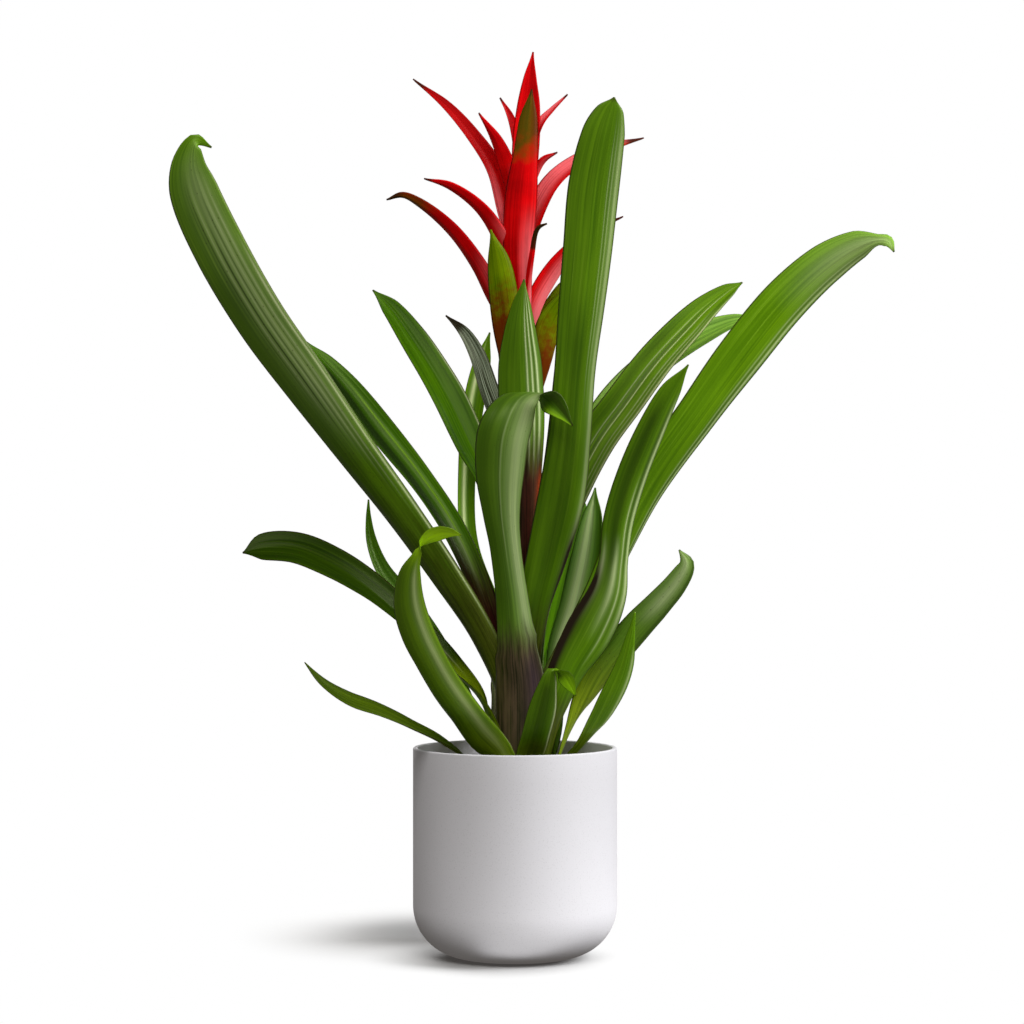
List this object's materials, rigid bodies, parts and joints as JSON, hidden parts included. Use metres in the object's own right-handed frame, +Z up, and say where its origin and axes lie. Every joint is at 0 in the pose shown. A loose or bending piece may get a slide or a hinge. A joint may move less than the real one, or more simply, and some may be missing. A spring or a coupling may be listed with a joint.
{
  "type": "potted guzmania",
  "caption": "Bromeliad with a nest of long strap leaves, a stalk of green bracts and a head of red bracts, in a round white pot.",
  "frame": {"origin": "middle of the pot's flat underside", "axes": "+Z up along the pot's axis, -Y towards the viewer of the picture, +X to the viewer's right"},
  "size_m": [0.4668, 0.3057, 0.5991],
  "materials": {
    "white_pot": "fine matte glaze with faint speckles",
    "soil": "damp crumbly bark compost",
    "stalk_green": "green and olive bracts, red at the foot",
    "bract_red": "waxy red, dark tips",
    "leaf_front": "satin green with fine lengthwise veins, purple-brown sheath",
    "leaf_back": "glossy green with fine lengthwise veins",
    "leaf_pale": "pale green, light shining through"
  },
  "bodies": {
    "root": {"pot": "white_pot", "soil": "soil", "stalk": "stalk_green", "flower_head": "bract_red", "leaf_front_inner": "leaf_front", "leaf_back_left": "leaf_back", "leaf_right_tall": "leaf_front", "leaf_left_inner": "leaf_back", "leaf_right_back": "leaf_back", "leaf_left_tall": "leaf_front", "leaf_left_back": "leaf_back", "leaf_right_long": "leaf_back", "leaf_front_arched": "leaf_front", "leaf_back_tall": "leaf_back", "leaf_right_front": "leaf_front", "leaf_right_far": "leaf_pale", "leaf_left_mid": "leaf_back", "leaf_right_short": "leaf_pale", "leaf_left_front": "leaf_front", "leaf_back_arched": "leaf_back", "leaf_right_low": "leaf_front", "leaf_front_short": "leaf_front", "leaf_left_small": "leaf_back", "leaf_back_right": "leaf_back", "leaf_right_lowest": "leaf_front", "leaf_left_low": "leaf_back", "leaf_back_low": "leaf_back"}
  },
  "joints": []
}
